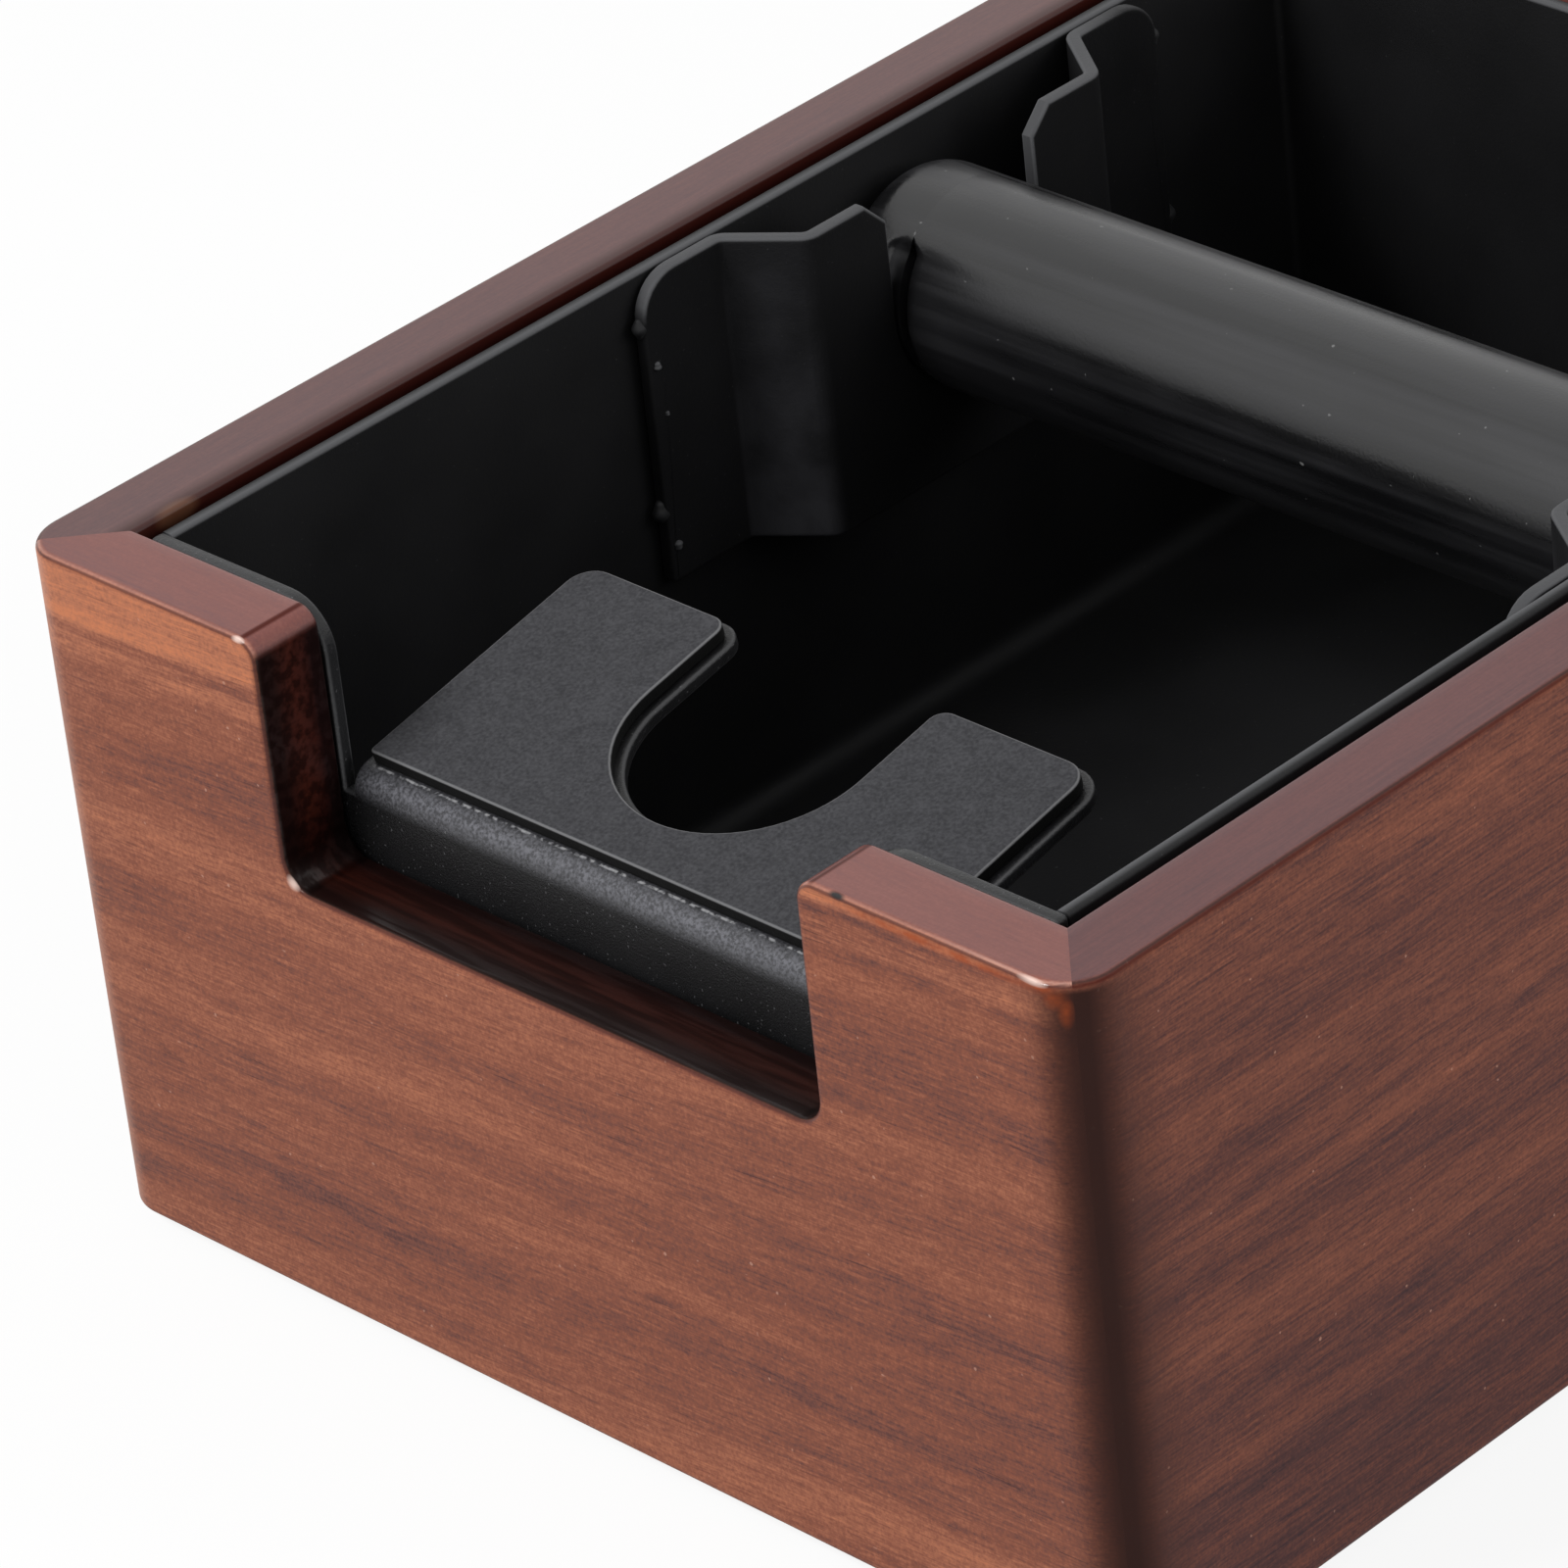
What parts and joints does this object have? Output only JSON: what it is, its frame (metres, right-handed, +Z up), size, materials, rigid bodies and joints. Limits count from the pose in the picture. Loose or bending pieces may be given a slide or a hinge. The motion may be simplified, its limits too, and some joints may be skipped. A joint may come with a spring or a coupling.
{
  "type": "coffee grounds bin",
  "caption": "Mitred wooden box with a front notch, a lift-out black metal liner with a sloping portafilter rest, and a rubber knock bar in open slots.",
  "frame": {"origin": "on the ground under the middle of the case", "axes": "+Z up, +Y from the notched front to the back along the longest side, +X to the right seen from the front"},
  "size_m": [0.155, 0.202, 0.087],
  "materials": {
    "wood": "satin lacquered walnut-brown hardwood with long straight grain",
    "plywood": "plain birch plywood",
    "coated_steel": "fine matte black powder coat",
    "grey_rubber": "matte dark grey sheet rubber",
    "black_rubber": "smooth satin black rubber",
    "foot_rubber": "matte black rubber",
    "bare_steel": "plain turned steel"
  },
  "bodies": {
    "case": {"front_board": "wood", "back_board": "wood", "left_board": "wood", "right_board": "wood", "base_board": "plywood", "foot_front_left": "foot_rubber", "foot_front_right": "foot_rubber", "foot_rear_left": "foot_rubber", "foot_rear_right": "foot_rubber", "foot_screw_front_left": "bare_steel", "foot_screw_front_right": "bare_steel", "foot_screw_rear_left": "bare_steel", "foot_screw_rear_right": "bare_steel"},
    "liner": {"liner_tray": "coated_steel", "liner_front": "coated_steel", "rest_mat": "grey_rubber", "left_bar_holder": "coated_steel", "right_bar_holder": "coated_steel"},
    "knock_bar": {"bar_core": "bare_steel", "bar_sleeve": "black_rubber", "bar_end_left": "black_rubber", "bar_end_right": "black_rubber"}
  },
  "joints": [
    {"name": "liner_lift", "type": "slide", "parent": "case", "child": "liner", "axis": [0, 0, 1], "range_m": [0, 0.08]},
    {"name": "bar_lift", "type": "slide", "parent": "liner", "child": "knock_bar", "axis": [0, 0, 1], "range_m": [0, 0.045]}
  ]
}
